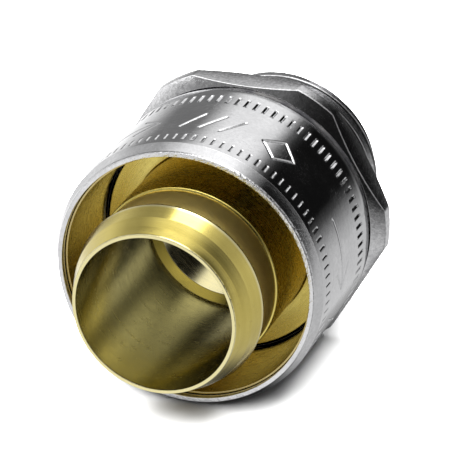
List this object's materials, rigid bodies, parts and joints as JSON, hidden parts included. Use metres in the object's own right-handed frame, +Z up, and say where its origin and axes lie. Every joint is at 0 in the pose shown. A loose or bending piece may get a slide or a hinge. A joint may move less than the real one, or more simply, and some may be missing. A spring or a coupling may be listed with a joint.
{
  "type": "cable gland",
  "caption": "Metal conduit gland: hexagon body with entry thread, round sleeve nut, split clamp sleeve and a beaded ferrule that slides out of the mouth.",
  "frame": {"origin": "on the gland's axis, in the hexagon's seating face at the root of the entry thread", "axes": "+Y along the entry thread, out of the gland; -Y out of the mouth that takes the conduit; +Z up through the top flat of the hexagon; +X to the right, through a corner of the hexagon"},
  "size_m": [0.0292, 0.0371, 0.027],
  "materials": {
    "nickel_body": "bright nickel plating over turned brass",
    "nickel_sleeve": "bright nickel plating, polished, with rolled tick marks",
    "brass_clamp": "bare turned brass, slightly dull",
    "brass_ferrule": "bare turned brass, satin",
    "black_rubber": "matt black nitrile rubber"
  },
  "bodies": {
    "body": {"gland_body": "nickel_body", "ferrule_gasket": "black_rubber", "nut_o_ring": "black_rubber", "entry_o_ring": "black_rubber"},
    "clamp": {"clamp_sleeve": "brass_clamp"},
    "nut": {"sleeve_nut": "nickel_sleeve"},
    "ferrule": {"ferrule": "brass_ferrule", "ferrule_o_ring": "black_rubber"}
  },
  "joints": [
    {"name": "nut_travel", "type": "slide", "parent": "body", "child": "clamp", "axis": [0, -1, 0], "range_m": [-0.001, 0.003]},
    {"name": "nut_turn", "type": "hinge", "parent": "clamp", "child": "nut", "pos_m": [0, -0.006, 0], "axis": [0, -1, 0], "range_deg": [-360, 1080]},
    {"name": "ferrule_slide", "type": "slide", "parent": "body", "child": "ferrule", "axis": [0, -1, 0], "range_m": [0, 0.009]}
  ],
  "couplings": [
    {"joint": "nut_travel", "follows": "nut_turn", "m_per_rad": 0.00015915}
  ]
}
